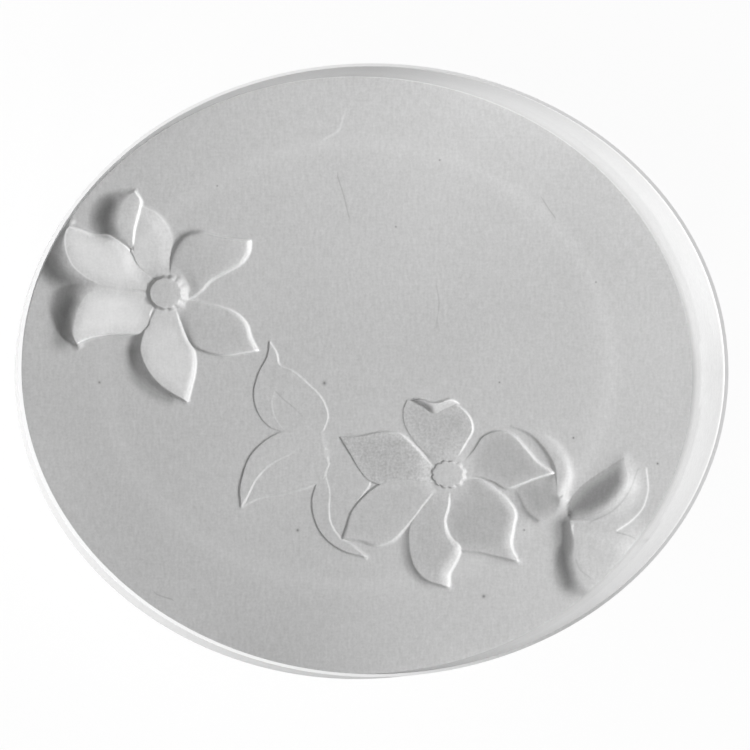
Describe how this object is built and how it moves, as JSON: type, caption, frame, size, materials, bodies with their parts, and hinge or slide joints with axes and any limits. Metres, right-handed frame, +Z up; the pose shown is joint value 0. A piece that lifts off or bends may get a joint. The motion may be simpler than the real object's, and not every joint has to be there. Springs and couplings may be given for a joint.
{
  "type": "silicone soap mould",
  "caption": "Open oval silicone mould for casting a soap bar, with lilies and leaves sunk in its floor as a relief.",
  "frame": {"origin": "under the middle of the oval, on the plane that the foot ring stands on", "axes": "+X along the long axis of the oval, towards the side where the leaves end; +Y along the short axis; +Z up, out of the cavity's mouth"},
  "size_m": [0.1024, 0.088, 0.0294],
  "materials": {
    "silicone": "satin"
  },
  "bodies": {
    "root": {"side_wall": "silicone", "relief_floor": "silicone", "foot_ring": "silicone"}
  },
  "joints": []
}
